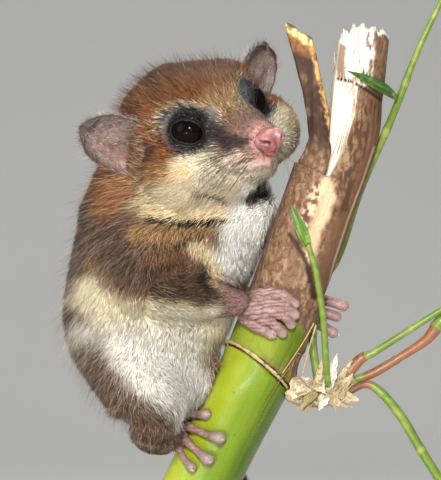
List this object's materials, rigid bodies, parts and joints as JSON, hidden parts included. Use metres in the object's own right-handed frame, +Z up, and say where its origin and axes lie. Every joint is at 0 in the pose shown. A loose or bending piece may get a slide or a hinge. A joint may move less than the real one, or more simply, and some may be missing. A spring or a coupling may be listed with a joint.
{
  "type": "monito del monte on a bamboo culm",
  "caption": "Life-size still model of a small round-eared marsupial holding on to a leaning broken bamboo culm, on a flat base with short rods.",
  "frame": {"origin": "centre of the underside of the stand's base", "axes": "+Z up, +X to the right in the picture, where the culm leans, +Y away from the viewer"},
  "size_m": [0.104, 0.08, 0.1472],
  "materials": {
    "fur_coat": "short dense fur, red-brown above and cream below",
    "bare_skin": "thin pinkish skin, sparsely haired, slight sheen",
    "nose_skin": "moist pink skin",
    "eye_cornea": "glossy black, polished",
    "culm_green": "smooth green bamboo rind, glossy",
    "culm_dry": "dry papery sheath and torn pale pith",
    "scar_cork": "dry node scar, matt",
    "shoot_green": "young green shoots and leaves, satin",
    "stand_wood": "oiled dark wood, satin",
    "stand_metal": "brushed steel rods"
  },
  "bodies": {
    "root": {"arm_left_fore": "fur_coat", "arm_left_upper": "fur_coat", "arm_right_fore": "fur_coat", "arm_right_upper": "fur_coat", "branch_base": "culm_dry", "culm_lower": "culm_green", "culm_scar": "scar_cork", "culm_splinter": "culm_dry", "culm_upper": "culm_dry", "ear_left": "bare_skin", "ear_right": "bare_skin", "eye_left": "eye_cornea", "eye_right": "eye_cornea", "foot_left": "bare_skin", "foot_right": "bare_skin", "hand_left": "bare_skin", "hand_right": "bare_skin", "head": "fur_coat", "leaf_long": "shoot_green", "leaf_up": "shoot_green", "neck": "fur_coat", "nose": "nose_skin", "shank_left": "fur_coat", "shank_right": "fur_coat", "shoot_lower_right": "shoot_green", "shoot_right_middle": "shoot_green", "shoot_right_upper": "shoot_green", "shoot_up": "shoot_green", "stand_base": "stand_wood", "stand_rod_high": "stand_metal", "stand_rod_low": "stand_metal", "stem_long": "shoot_green", "tail_root": "fur_coat", "tail_second": "fur_coat", "tail_third": "fur_coat", "tail_tip": "fur_coat", "thigh_left": "fur_coat", "thigh_right": "fur_coat", "torso": "fur_coat"}
  },
  "joints": []
}
